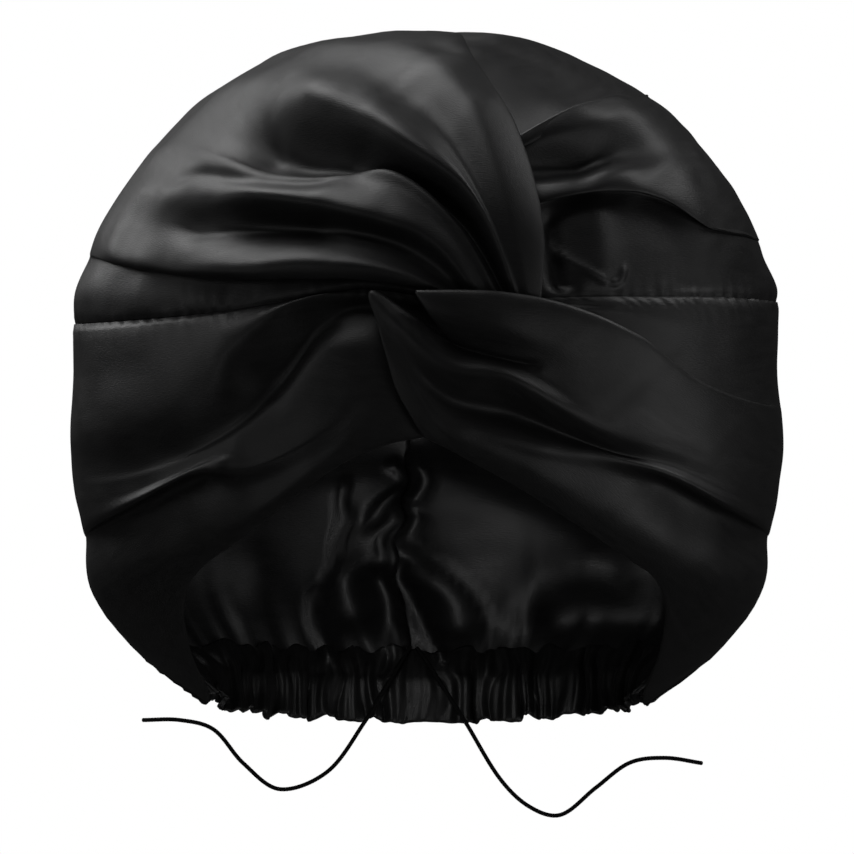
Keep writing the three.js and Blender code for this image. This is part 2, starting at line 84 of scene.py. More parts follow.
def smooth(places, values, at):
    """A cubic between each two values, with its slopes taken across the neighbours on either side."""
    places = np.asarray(places, float)
    values = np.asarray(values, float)
    at = np.asarray(at, float)
    last = len(places) - 1
    before = np.maximum(np.arange(last + 1) - 1, 0)
    after = np.minimum(np.arange(last + 1) + 1, last)
    rest = (1,) * (values.ndim - 1)
    slope = (values[after] - values[before]) / (places[after] - places[before]).reshape((-1,) + rest)
    i = np.clip(np.searchsorted(places, at, side="right") - 1, 0, last - 1)
    width = (places[i + 1] - places[i]).reshape(at.shape + rest)
    u = (at - places[i]).reshape(at.shape + rest) / width
    rise = values[i + 1] - values[i]
    first = slope[i] * width
    second = slope[i + 1] * width
    return values[i] + u * (first + u * (3 * rise - 2 * first - second + u * (first + second - 2 * rise)))


def smoothstep(value, low, high):
    """0 up to low, 1 from high on, and an S-shaped rise between them."""
    u = np.clip((value - low) / (high - low), 0, 1)
    return u * u * (3 - 2 * u)


def bell(distance, width):
    """A bell curve: 1 at no distance, and e times less at one width."""
    return np.exp(-((distance / width) ** 2))


def unit(vectors):
    """Each vector divided by its length."""
    return vectors / (np.linalg.norm(vectors, axis=-1, keepdims=True) + TINY)


def run_length(points, axis=0):
    """How far each point of a grid lies from the first one along an axis, summed from point to point."""
    first = np.take(points, [0], axis=axis)
    return np.cumsum(np.linalg.norm(np.diff(points, axis=axis, prepend=first), axis=-1), axis=axis)


FINE_LEVELS = np.linspace(FORM["level"][0], FORM["level"][-1], FINE_POINTS)
FINE_HEIGHTS = smooth(FORM["level"], FORM["height"], FINE_LEVELS)


def level_of(height):
    """The form's level at a height, read back from the heights of finely spaced levels."""
    return np.interp(height, FINE_HEIGHTS, FINE_LEVELS)


def direction(azimuth, level):
    """The unit vector of an azimuth and a level in degrees. Azimuth 0 faces -Y and 90 faces +X."""
    a = np.radians(azimuth)
    e = np.radians(level)
    return np.stack([np.cos(e) * np.sin(a), -np.cos(e) * np.cos(a), np.sin(e) + 0 * a], -1)


def front_direction(places):
    """The direction of points on the front of the form: the sine of the azimuth is x over the half width."""
    places = np.asarray(places, float)
    level = level_of(places[..., 1])
    half_width = np.maximum(smooth(FORM["level"], FORM["half_width"], level), TINY)
    share = np.clip(places[..., 0] / half_width, -1, 1)
    return direction(np.degrees(np.arcsin(share)), level)


def form_point(d):
    """The form's point in a direction: a half ellipse forwards and another one backwards at each level."""
    level = np.degrees(np.arcsin(np.clip(d[..., 2], -1, 1)))
    a = np.arctan2(d[..., 0], -d[..., 1])
    section = smooth(FORM["level"], FORM_ROWS[:, 1:], level)
    height, half_width, middle, front, back = np.moveaxis(section, -1, 0)
    reach = np.where(np.cos(a) > 0, front, back)
    return np.stack([half_width * np.sin(a), middle - reach * np.cos(a), height], -1)


def standing(d, proud):
    """The form's point in a direction, moved by proud along the form's normal, which is the cross product of
    two short steps over the form."""
    across = unit(np.cross((0, 0, 1), d))
    up = np.cross(d, across)
    along_across = form_point(unit(d + NORMAL_STEP * across)) - form_point(unit(d - NORMAL_STEP * across))
    along_up = form_point(unit(d + NORMAL_STEP * up)) - form_point(unit(d - NORMAL_STEP * up))
    return form_point(d) + unit(np.cross(along_across, along_up)) * proud[..., None]


def facing_front(d):
    """1 on the front of the form and 0 at its back, with a soft change across the outline."""
    return smoothstep(-d[..., 1], *OUTLINE_CHANGE)


def fold_lines(rows, side):
    """Each row of a fold table as directions and standing heights at the stations. side is -1 for the left
    half and 1 for the right one, which laps over the left one's edge at the back."""
    seam_azimuth = BACK_SEAM_AZIMUTH + SEAM_LAP if side > 0 else BACK_SEAM_AZIMUTH - 360
    front = front_direction([[row[name] for name in FRONT_STATIONS] for row in rows])
    back_level = level_of([row["back"] for row in rows])
    back = direction(np.full(len(rows), seam_azimuth), back_level)
    between = front[:, -1] + back
    rear_azimuth = np.degrees(np.arctan2(between[:, 0], -between[:, 1]))
    outer_level = np.degrees(np.arcsin(front[:, -1, 2]))
    rear = direction(rear_azimuth, (outer_level + back_level) / 2)
    proud = np.zeros((len(rows), len(STATIONS)))
    for number, row in enumerate(rows):
        proud[number, :len(row["proud"])] = row["proud"]
    return np.concatenate([front, rear[:, None], back[:, None]], 1), proud


def curved_folds(points, folds):
    """The sum of long folds. Each follows a curve from start through middle to end, as seen from the front,
    and its height falls off as a bell curve with the distance, width wide on its left and far wide on its
    right. fade is the share of its length over which it dies away at each end, and without it the ends are
    round."""
    total = np.zeros(points.shape[:-1])
    x = points[..., 0]
    z = points[..., 2]
    t = np.linspace(0, 1, CURVE_POINTS)
    for fold in folds:
        start, middle, end = (np.array(fold[name], float) for name in ("start", "middle", "end"))
        control = 2 * middle - (start + end) / 2
        curve = np.outer((1 - t) ** 2, start) + np.outer(2 * t * (1 - t), control) + np.outer(t**2, end)
        tangent = unit(np.outer(1 - t, control - start) + np.outer(t, end - control))
        width = fold["width"]
        far = fold.get("far", width)
        fade = fold.get("fade", 0)
        reach = BELL_REACH * max(width, far)
        low = curve.min(0) - reach
        high = curve.max(0) + reach
        close = (x > low[0]) & (x < high[0]) & (z > low[1]) & (z < high[1])
        places = np.stack([x[close], z[close]], -1)
        nearest = ((places[:, None] - curve) ** 2).sum(-1).argmin(1)
        offset = places - curve[nearest]
        ahead = (offset * tangent[nearest]).sum(-1)
        aside = tangent[nearest, 0] * offset[:, 1] - tangent[nearest, 1] * offset[:, 0]
        past_start = np.where(nearest == 0, np.minimum(ahead, 0), 0)
        past_end = np.where(nearest == len(t) - 1, np.maximum(ahead, 0), 0)
        distance = np.sqrt(aside**2 + past_start**2 + past_end**2)
        leaning = (1 + aside / (distance + TINY)) / 2
        spread = far + (width - far) * leaning
        height = np.full(len(nearest), float(fold["height"]))
        if fade:
            height *= smoothstep(t[nearest], 0, fade) * (1 - smoothstep(t[nearest], 1 - fade, 1))
        total[close] += height * bell(distance, spread)
    return total


# The slow unevenness of soft cloth, as waves: radians for each millimetre along x, y and z, and the height.
CRINKLES = [
    {"pace": (0.11, 0.03, 0.05), "height": 0.35},
    {"pace": (-0.06, 0.12, 0.15), "height": 0.25},
    {"pace": (0.2, -0.1, 0.16), "height": 0.16},
    {"pace": (0.13, 0.24, -0.27), "height": 0.1},
    {"pace": (-0.33, 0.2, 0.3), "height": 0.06},
]
CRINKLE_BEND = {"depth": 1.3, "pace": 0.7, "start": 2.1}


def crinkle(points):
    """The sum of the crinkles, the longest 50 mm and the shortest 13 mm. Each is bent by a slower wave in
    another direction, and each starts further on than the one before."""
    total = np.zeros(points.shape[:-1])
    for number, wave in enumerate(CRINKLES):
        pace = np.array(wave["pace"])
        bend = CRINKLE_BEND["depth"] * np.sin(CRINKLE_BEND["pace"] * (points @ np.roll(pace, 1)) + number)
        total += wave["height"] * np.sin(points @ pace + bend + CRINKLE_BEND["start"] * number)
    return total


def drift(at, waves):
    """A sum of sine waves, each with its height, its pace in radians and its start."""
    return sum(wave["height"] * np.sin(wave["pace"] * at + wave["start"]) for wave in waves)


def uneven(at, waves):
    """A product of factors from 1 down to 1 - 2 * share, each of which rises and falls as a sine wave."""
    factor = 1
    for wave in waves:
        factor = factor * (1 - wave["share"] + wave["share"] * np.sin(wave["pace"] * at + wave["start"]))
    return factor


# The seam between crown and band is puckered. Its ripples have a height, a pace in radians for each
# millimetre and a reach across the cloth, and a groove runs along every seam.
PUCKERS = {"height": 0.85, "pace": 1.05, "reach": 3.6}
PUCKER_DRIFT = [
    {"height": 1.7, "pace": 0.11, "start": 0},
    {"height": 0.9, "pace": 0.29, "start": 1},
]
PUCKER_UNEVEN = [
    {"share": 0.4, "pace": 0.035, "start": 0},
    {"share": 0.3, "pace": 0.37, "start": 2},
]
GROOVE_DEPTH = 0.6
GROOVE_WIDTH = 1.4
BACK_GROOVE_WIDTH = 1.8
LAP_LIFT = 0.6


def sewn_seam(base):
    """Puckers along the first row, counted from the back seam so that both sides of it match: ripples of
    drifting pace that die away across the cloth, and a narrow groove on the row."""
    along = run_length(base[0, ::-1])[::-1]
    across = run_length(base)
    height = PUCKERS["height"] * uneven(along, PUCKER_UNEVEN)
    ripple = height * np.cos(PUCKERS["pace"] * along + drift(along, PUCKER_DRIFT))
    return ripple * np.exp(-across / PUCKERS["reach"]) - GROOVE_DEPTH * bell(across, GROOVE_WIDTH)


def seam_distance(base):
    """How far each point lies from the back seam, the last column of the cloth, measured along its row."""
    return run_length(base[:, ::-1], axis=1)[:, ::-1]


def back_groove(base, side):
    """A bell-shaped groove along the back seam. The right edge is lifted clear of the left one under it."""
    lift = LAP_LIFT if side > 0 else 0
    return (lift - GROOVE_DEPTH) * bell(seam_distance(base), BACK_GROOVE_WIDTH)


def cloth_lines(lines, proud, stations):
    """Fold lines joined into a cloth: smoothly along each line first, and then from line to line."""
    along = np.linspace(stations[0], stations[-1], POINTS_ALONG)
    rows = np.arange(len(lines))
    across = np.linspace(0, len(lines) - 1, (len(lines) - 1) * POINTS_PER_FOLD + 1)
    lines_at = smooth(stations, np.moveaxis(lines, 1, 0), along)
    proud_at = smooth(stations, proud.T, along)
    d = unit(smooth(rows, np.moveaxis(lines_at, 1, 0), across))
    return d, smooth(rows, proud_at.T, across)


# The weave: how much its noise is drawn out along the threads, and how much slower the unevenness of the
# yarn is. The face of the satin is deep black, and its back, seen inside the cap, is a little paler and
# glossier.
THREADS_DRAWN = (0.22, 1, 1)
YARN_SHARE = 0.12
SHADE_RANGE = (0.3, 0.7)
GLOSS_RANGE = (0.25, 0.75)
SATIN = {"threads": 2600, "shade": "Yarn", "bump": 0.3, "relief": 0.0003}
SATIN_FACE = {"dark": (0.005, 0.005, 0.0054, 1), "light": (0.0078, 0.0076, 0.008, 1)}
SATIN_BACK = {"dark": (0.006, 0.006, 0.0063, 1), "light": (0.0095, 0.0093, 0.0095, 1)}
FACE_ROUGHNESS = (0.44, 0.5)
BACK_ROUGHNESS = (0.42, 0.48)


def fine_weave():
    """A node group for fine threads: noise drawn out along the threads, for their height, and a slower noise
    for the unevenness of the yarn. Threads is how many lie side by side in a metre."""
    group = bpy.data.node_groups.new("fine_weave", "ShaderNodeTree")
    group.interface.new_socket("Vector", in_out="INPUT", socket_type="NodeSocketVector")
    group.interface.new_socket("Threads", in_out="INPUT", socket_type="NodeSocketFloat")
    group.interface.new_socket("Height", in_out="OUTPUT", socket_type="NodeSocketFloat")
    group.interface.new_socket("Yarn", in_out="OUTPUT", socket_type="NodeSocketFloat")
    enter = group.nodes.new("NodeGroupInput")
    leave = group.nodes.new("NodeGroupOutput")
    drawn = group.nodes.new("ShaderNodeVectorMath")
    drawn.operation = "MULTIPLY"
    drawn.inputs[1].default_value = THREADS_DRAWN
    threads = group.nodes.new("ShaderNodeTexNoise")
    threads.inputs["Detail"].default_value = 2
    yarn = group.nodes.new("ShaderNodeTexNoise")
    yarn.inputs["Detail"].default_value = 3
    slower = group.nodes.new("ShaderNodeMath")
    slower.operation = "MULTIPLY"
    slower.inputs[1].default_value = YARN_SHARE
    link = group.links.new
    link(enter.outputs["Vector"], drawn.inputs[0])
    link(drawn.outputs[0], threads.inputs["Vector"])
    link(enter.outputs["Threads"], threads.inputs["Scale"])
    link(enter.outputs["Threads"], slower.inputs[0])
    link(drawn.outputs[0], yarn.inputs["Vector"])
    link(slower.outputs[0], yarn.inputs["Scale"])
    link(threads.outputs[0], leave.inputs["Height"])
    link(yarn.outputs[0], leave.inputs["Yarn"])
    return group


weave = fine_weave()


def woven_finish(name, threads, shade, bump, relief, dark, light):
    """Black yarn: the height of its threads in the bump, and a colour from dark to light that follows the
    output of the weave that shade names."""
    finish = bpy.data.materials.new(name)
    finish.use_nodes = True
    nodes = finish.node_tree.nodes
    link = finish.node_tree.links.new
    shader = nodes["Principled BSDF"]
    place = nodes.new("ShaderNodeUVMap")
    place.uv_map = "cloth"
    woven = nodes.new("ShaderNodeGroup")
    woven.name = "weave"
    woven.node_tree = weave
    woven.inputs["Threads"].default_value = threads
    colour = nodes.new("ShaderNodeValToRGB")
    low, high = colour.color_ramp.elements
    low.position, high.position = SHADE_RANGE
    low.color = dark
    high.color = light
    raised = nodes.new("ShaderNodeBump")
    raised.inputs["Strength"].default_value = bump
    raised.inputs["Distance"].default_value = relief
    link(place.outputs["UV"], woven.inputs["Vector"])
    link(woven.outputs[shade], colour.inputs["Fac"])
    link(colour.outputs["Color"], shader.inputs["Base Color"])
    link(woven.outputs["Height"], raised.inputs["Height"])
    link(raised.outputs["Normal"], shader.inputs["Normal"])
    return finish


def satin_finish(name, colours, roughness):
    """Smooth black satin, whose gloss is as uneven as its yarn."""
    finish = woven_finish(name, **SATIN, **colours)
    nodes = finish.node_tree.nodes
    link = finish.node_tree.links.new
    gloss = nodes.new("ShaderNodeMapRange")
    gloss.inputs["From Min"].default_value = GLOSS_RANGE[0]
    gloss.inputs["From Max"].default_value = GLOSS_RANGE[1]
    gloss.inputs["To Min"].default_value = roughness[0]
    gloss.inputs["To Max"].default_value = roughness[1]
    link(nodes["weave"].outputs["Yarn"], gloss.inputs["Value"])
    link(gloss.outputs["Result"], nodes["Principled BSDF"].inputs["Roughness"])
    return finish


satin = satin_finish("satin", SATIN_FACE, FACE_ROUGHNESS)
satin_back = satin_finish("satin_back", SATIN_BACK, BACK_ROUGHNESS)


def satin_piece(node, grid, side):
    """A sheet through a grid of points. Its UV map holds metres along and across the cloth, and a thin wall
    is grown on its inner side."""
    name = "satin_" + node
    rows, columns = grid.shape[:2]
    index = np.arange(rows * columns).reshape(rows, columns)
    corners = [index[:-1, :-1], index[:-1, 1:], index[1:, 1:], index[1:, :-1]]
    faces = np.stack(corners[::side], -1).reshape(-1, 4)
    mesh = bpy.data.meshes.new(name)
    mesh.from_pydata((grid.reshape(-1, 3) * MM).tolist(), [], faces.tolist())
    places = np.stack([run_length(grid, axis=1), run_length(grid)], -1).reshape(-1, 2) * MM
    uv = mesh.uv_layers.new(name="cloth")
    uv.data.foreach_set("uv", places[faces.reshape(-1)].astype(np.float32).reshape(-1))
    mesh.shade_smooth()
    mesh.materials.append(satin)
    mesh.materials.append(satin_back)
    piece = bpy.data.objects.new(name, mesh)
    bpy.context.collection.objects.link(piece)
    wall = piece.modifiers.new("wall", "SOLIDIFY")
    wall.thickness = CLOTH_THICKNESS * MM
    wall.offset = -1
    wall.material_offset = 1
    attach(piece, "root")
    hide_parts(node)


# Fold tables. Each row is a line along the cloth, from its tip in the twist to the back seam: its name, x
# and z at six places as seen from the front, its height at the back seam, and how far it stands proud of the
# form at those six places, then behind the outline and at the back if not 0.
FOLD_COLUMNS = ("fold",) + FRONT_STATIONS + ("back", "proud")


def fold_table(rows):
    """Rows of values with the names of their columns."""
    return [dict(zip(FOLD_COLUMNS, row)) for row in rows]


# The seams join the crown to the band, and both follow them.
SEAM_LEFT, SEAM_RIGHT = fold_table([
    ("left_seam", (14, 44.5), (-20, 49.5), (-42, 46), (-71, 41.5), (-96, 39), (-130, 38), 44,
     (-7, -3.5, -1.5, -0.8, 0, 1.8)),
    ("right_seam", (33, 46.5), (48, 46.5), (62, 47), (80, 47), (102, 47), (130, 45.5), 44,
     (-5, -3.2, -2.2, -1.6, -0.4, 1.8)),
])
CROWN_LEFT = fold_table([
    ("strip", (15, 46), (-20, 51), (-42, 49.5), (-71, 47), (-96, 47.5), (-130, 50), 51,
     (-6, -2.5, -0.6, -0.2, 0.6, 2.4)),
    ("tuck", (15.5, 47.5), (-20, 53.5), (-42, 55), (-71, 55.5), (-96, 58), (-130, 61), 57,
     (-5.5, -2.5, -1.4, -0.8, -0.2, 0.6)),
    ("pleat_edge", (16.5, 46.5), (-20, 52), (-42, 52.5), (-71, 52.5), (-96, 55.5), (-130, 64), 63,
     (-3.5, 1, 2, 2.5, 2.5, 0.8)),
    ("lower_swell", (18.5, 43.5), (-13, 55.5), (-38.5, 58.5), (-67, 56.8), (-92.5, 58.2), (-130, 70), 70,
     (-3, 3, 4.8, 6, 4.8, 0.6)),
    ("lower_valley", (22, 38.5), (0.5, 58.5), (-20, 68), (-56, 71.5), (-82, 69.5), (-130, 78), 79,
     (-3.6, -4, -3.4, -2, 3.2, 0.4)),
    ("lower_crest", (24.5, 38), (4.5, 63.5), (-17, 73), (-53, 79.3), (-85, 80.3), (-130, 88), 88,
     (-2.8, 3, 5.4, 6.4, 4.6, 0.4)),
    ("wrinkle", (27, 38), (8.5, 68.5), (-15, 84.5), (-49, 85.7), (-81.5, 89), (-130, 95), 94,
     (-2.6, 1.8, 3, 2.6, 3, 0.3)),
    ("middle_crest", (29.8, 38), (10.5, 71.5), (-13, 90), (-46, 89.5), (-72.5, 94.5), (-130, 102), 100,
     (-2.4, 2, 2.6, 3, 2.8, 0.4)),
    ("upper_valley", (32.3, 38.5), (14, 72.5), (-8, 89.5), (-43.5, 95.5), (-60, 98), (-130, 113), 106,
     (-3.6, -6, -6.5, -2.5, 0.5, 0.2)),
    ("upper_crest", (34, 38.5), (17.5, 76), (-3, 94), (-40, 114.5), (-57, 120.5), (-130, 122), 111,
     (-1.8, 5.4, 9.4, 7.4, 3.2, 0.4)),
    ("shoulder", (35.4, 40), (21, 75.5), (4, 104.5), (-20, 125), (-35, 134), (-130, 136), 119,
     (-1.2, 4, 4, 2, 1.8, 0.1)),
    ("roll", (37, 41.5), (28, 77.5), (15.5, 110), (1, 129), (-4, 137), (-5, 144.2), 125,
     (-0.5, 6, 7.6, 5, 2, -0.4)),
    ("roll_edge", (40, 46), (40, 70), (32, 101.5), (21, 122.5), (15, 133), (10, 143.8), 130,
     (0, 3.2, 3.8, 3.2, 1.7, -0.8, 0, 0.3)),
    ("roll_under", (37.2, 49), (35, 71.5), (26, 101), (15.5, 121), (10, 131.5), (4, 144.1), 132,
     (-1.5, -1.5, -2, -1.8, -1.4, -1.8, -0.9, 0)),
])
CROWN_RIGHT = fold_table([
    ("strip", (33, 50.5), (48, 50), (62, 51), (80, 52), (102, 52), (130, 51), 51,
     (-5, -3.8, -3.2, -3, -1.2, 2.4)),
    ("recess", (33, 60), (46, 60.5), (62, 63), (80, 64), (100, 60.5), (130, 60), 58,
     (-5, -4.8, -3.2, -2.2, 0, 1)),
    ("tuck", (33.5, 76), (46, 82.5), (62, 84), (80, 81.5), (100, 71.5), (130, 67), 64,
     (-4.5, -3.6, -1.2, 0.4, 2.2, 0.4)),
    ("pleat_edge", (32.5, 79), (46, 80.5), (62, 81.5), (80, 79), (100, 70), (130, 69), 70,
     (-4, 1.5, 4.6, 6, 3.4, 0.8)),
    ("lower_crest", (31, 85), (46, 85.5), (62, 87.5), (80, 88), (98.5, 84.5), (130, 83), 82,
     (-3.5, 2.2, 6, 7, 4.6, 0.7)),
    ("hollow", (28.5, 92), (43, 92.5), (59, 95), (77, 98), (91, 99.5), (130, 102), 95,
     (-3.5, -5, -1.5, 4.4, 3.6, 0.4)),
    ("upper_swell", (27.5, 97.5), (40, 101), (54.5, 104.5), (69.5, 108), (82, 111), (130, 113), 102,
     (-3.5, 2, 6, 6.8, 3.6, 0.6)),
    ("upper_edge", (26.5, 101), (37, 105), (50, 110), (62.5, 114), (73.5, 117), (130, 119.5), 108,
     (-3.5, 2.8, 6.4, 6.4, 2.4, 0.6)),
    ("upper_tuck", (24.5, 98.5), (37, 101.5), (50.5, 106.5), (63.5, 110.5), (75, 115.2), (130, 121.5), 113,
     (-4.5, 0.4, 3.6, 4, 2, 0.5)),
    ("top", (21, 113.5), (32, 116.5), (42.5, 120.5), (53.5, 124), (61.5, 126.5), (130, 129), 119,
     (-4.5, -3.4, -3, -3, -0.8, 0.2, -0.2, -0.4)),
    ("top_inner", (15.5, 126), (23, 130.5), (29, 133.5), (34.5, 136), (38.5, 137.5), (130, 138), 126,
     (-4, -4.2, -4, -3.6, -1.4, 0.2, -0.4, -0.6)),
    ("top_rise", (12, 130), (16, 134.5), (19.5, 137.5), (22, 139.6), (21.5, 141.3), (20, 143.3), 129,
     (-3.8, -3.2, -2.6, -2.2, -1.4, 0.2, -0.8, -1)),
    ("top_seam", (8, 133), (7, 137), (5, 140), (3, 142), (1.5, 143.3), (0, 144.2), 131,
     (-4, -3.8, -3.8, -3.8, -3.8, -3.4, -2.4, -1.6)),
])

# Small folds on the front of each half. A negative height is a crease or a hollow.
CROWN_LEFT_FOLDS = [
    {"fold": "outline_crease", "start": (-69.5, 126), "middle": (-67.5, 117), "end": (-65, 106),
     "width": 1.6, "height": -0.6, "fade": 0.4},
    {"fold": "upper_hollow", "start": (-53, 98), "middle": (-43, 97), "end": (-28, 96.5), "width": 13,
     "height": -7, "far": 8},
    {"fold": "lower_hollow", "start": (-82, 71), "middle": (-62, 72), "end": (-40, 71), "width": 8,
     "height": -3.6, "far": 5},
    {"fold": "wrinkle_left", "start": (-96, 83.5), "middle": (-80, 90), "end": (-61, 86.5), "width": 2.2,
     "height": -0.7, "fade": 0.3},
    {"fold": "wrinkle_right", "start": (-70, 88), "middle": (-45, 86.8), "end": (-24, 93.5), "width": 2.2,
     "height": -0.6, "fade": 0.3},
]
CROWN_RIGHT_FOLDS = [
    {"fold": "side_hollow", "start": (34, 94), "middle": (44, 95), "end": (54, 93), "width": 6,
     "height": -3},
    {"fold": "pocket", "start": (43, 72), "middle": (44, 62), "end": (47, 50), "width": 4, "height": -3},
    {"fold": "lobe", "start": (58, 74), "middle": (60, 66), "end": (60, 58), "width": 8, "height": 2.5},
    {"fold": "loop", "start": (41, 65.5), "middle": (53, 57), "end": (64, 51), "width": 1.3, "height": 1.2,
     "fade": 0.15},
    {"fold": "loop_turn", "start": (62.5, 51.5), "middle": (67.5, 52.5), "end": (69, 59), "width": 1.3,
     "height": 1, "fade": 0.25},
]
SEAM_CLEAR = 5
TWIST_CALM = (0.1, 0.3)
BACK_CRINKLE = 0.4


def crown_half(node, seam, rows, folds, side):
    """The cloth of one half, with its puckered seam, its small folds on the front and its soft unevenness,
    which is weaker at the back and calm at the seam and in the twist."""
    lines, proud = fold_lines([seam] + rows, side)
    d, stand = cloth_lines(lines, proud, STATIONS)
    base = standing(d, stand)
    front = facing_front(d)
    off_seam = smoothstep(run_length(base), 0, SEAM_CLEAR)
    off_twist = smoothstep(np.linspace(0, 1, POINTS_ALONG), *TWIST_CALM)
    detail = front * off_seam * curved_folds(base, folds) + sewn_seam(base) + back_groove(base, side)
    detail += (BACK_CRINKLE + (1 - BACK_CRINKLE) * front) * off_seam * off_twist * crinkle(base)
    satin_piece(node, standing(d, stand + detail), side)


crown_half("crown_left", SEAM_LEFT, CROWN_LEFT, CROWN_LEFT_FOLDS, -1)
crown_half("crown_right", SEAM_RIGHT, CROWN_RIGHT, CROWN_RIGHT_FOLDS, 1)

# Band: two halves of satin, sewn to the crown and twisted round each other at the front, the right over the
# left. The face edge is turned in, and the back seam is drawn up so that it ruches the cloth.
BAND_LEFT = fold_table([
    ("upper_ridge", (14, 42), (-20, 47), (-44, 44.5), (-65, 30), (-83, 14.5), (-130, 4), 20,
     (-7.5, -4.5, 0, 4.2, 4.4, 1)),
    ("hollow", (14, 37), (-22, 42.5), (-38.5, 36), (-56, 16), (-80, -3.5), (-130, -10), 0,
     (-8, -8, -7.5, -6, -0.5, 0.8)),
    ("arc", (14, 32), (-19.5, 30.5), (-36.5, 26), (-54.5, 7), (-78, -8), (-130, -18), -10,
     (-8, -2.5, -0.8, -0.6, 1.2, 0.8)),
    ("lower_ridge", (14, 27), (-18.5, 22.5), (-35, 5.5), (-56, -8), (-76, -10.5), (-130, -26), -20,
     (-7.5, -1, 2, 2.5, 2.6, 0.6)),
    ("crease_lip", (13, 20), (-16.5, 14.5), (-33, 0), (-58, -12.5), (-85, -16), (-130, -37), -34,
     (-7, 0, 2, 2.8, 4.8, -0.9)),
    ("crease", (12, 13), (-16, 10), (-33, -4.5), (-60, -19), (-87, -20.5), (-130, -41), -48,
     (-6, 0.5, 2, 1, -4.4, -1.4)),
    ("swell", (9, 6), (-15, 3.5), (-33, -9), (-62, -29), (-85, -39.5), (-130, -60), -70,
     (-5, 0.5, 2, 2.5, 1.4, 0.4)),
    ("face_edge", (6, -1), (-15, -4.5), (-35, -14.5), (-63.5, -36), (-86, -56), (-83, -95), -90,
     (-4, -0.5, 0.8, 1, 0, -0.5)),
])
BAND_RIGHT = fold_table([
    ("gather", (33, 43), (51.5, 43.5), (68, 41.5), (86, 38), (104, 36), (130, 34), 32,
     (-5, -2.8, -1.4, -0.6, 0.4, 1.4)),
    ("tuck", (8, 40.5), (26.5, 43), (48, 40.5), (71.5, 30), (95, 14), (130, 14), 20,
     (-0.5, -1.5, -2.5, -1.5, 0.3, 0.6)),
    ("top_edge", (-3, 48), (23, 47.5), (48, 43), (73, 32.5), (96.5, 16), (130, 5), 9,
     (3.5, 4.5, 4, 3.5, 2, 0.8)),
    ("upper_ridge", (0.5, 41.5), (19, 38), (44.5, 30.5), (71.5, 17), (95, 3.5), (130, -3), -2,
     (3, 5, 4.5, 3.5, 2, 1)),
    ("twist_crease", (7, 31.5), (15, 28), (30, 24), (62.5, 7), (91, -3.5), (130, -10), -12,
     (-2.5, -1, 1.5, 3.2, 2.2, 1)),
    ("lower_ridge", (-18, 48), (5, 24.5), (28, 18), (60.5, 0.5), (89.5, -8), (130, -17), -21,
     (2, 5, 6, 3.4, 2.3, 0.9)),
    ("soft_valley", (-16, 36), (5, 13.5), (32, 5.5), (62.5, -6.5), (91, -14.5), (130, -27), -30,
     (2.5, 0.5, -3, 0, 2, 0.6)),
    ("crease_lip", (-13, 25), (6.5, 6.5), (35.5, -3.5), (66, -10), (92.5, -19.5), (130, -37), -40,
     (3, 2.6, 2.4, 2.6, 4.8, -0.9)),
    ("crease", (-10.5, 16), (7.5, 2), (36.5, -9), (67, -16.5), (93, -24), (130, -41), -52,
     (3, 3.5, 2.6, 1, -4.4, -1.4)),
    ("swell", (-6.5, 8), (9, -2), (38, -15), (66, -30.5), (88.5, -42.5), (130, -60), -70,
     (3, 3.3, 2.8, 2.5, 1.4, 0.4)),
    ("face_edge", (-1, -1), (11.5, -7.5), (39, -23), (69.5, -43), (85.5, -58.5), (83, -95), -90,
     (2, 2, 1.2, 0.8, 0, -0.5)),
])

# Folds seen inside the back of the band, through the face opening. A negative height stands inwards.
BACK_FOLDS_LEFT = [
    {"fold": "broad_swell", "start": (-78, -38), "middle": (-52, -30), "end": (-26, -22), "width": 12,
     "height": -5, "far": 20},
    {"fold": "long_tuck", "start": (-32.6, -14), "middle": (-34, -44), "end": (-41, -62), "width": 1.5,
     "height": -2.6, "fade": 0.15},
    {"fold": "long_tuck_low", "start": (-40, -58), "middle": (-42.6, -72), "end": (-32, -90), "width": 1.5,
     "height": -2.6, "fade": 0.15},
    {"fold": "second_tuck", "start": (-28.5, -26), "middle": (-31, -47), "end": (-37.5, -60), "width": 1.4,
     "height": -2.2, "fade": 0.2},
    {"fold": "second_tuck_low", "start": (-36.5, -57), "middle": (-39.2, -70), "end": (-33, -86),
     "width": 1.4, "height": -2.2, "fade": 0.2},
    {"fold": "hollow", "start": (-29, -56), "middle": (-29, -60), "end": (-28, -66), "width": 10,
     "height": 6, "far": 8},
    {"fold": "bright_swell", "start": (-14, -60), "middle": (-13, -67), "end": (-13, -75), "width": 7,
     "height": -7},
    {"fold": "side_swell", "start": (-66, -52), "middle": (-64, -60), "end": (-66, -70), "width": 9,
     "height": -3},
    {"fold": "pucker_top", "start": (-12, -14.5), "middle": (-10.5, -15.5), "end": (-9, -17), "width": 2.6,
     "height": -3},
    {"fold": "pucker_middle", "start": (-20, -35), "middle": (-15, -30), "end": (-10, -25), "width": 3.2,
     "height": -3.6},
    {"fold": "pucker_low", "start": (-9, -32), "middle": (-12.5, -41), "end": (-13.5, -52), "width": 1.3,
     "height": -1.8, "fade": 0.2},
]
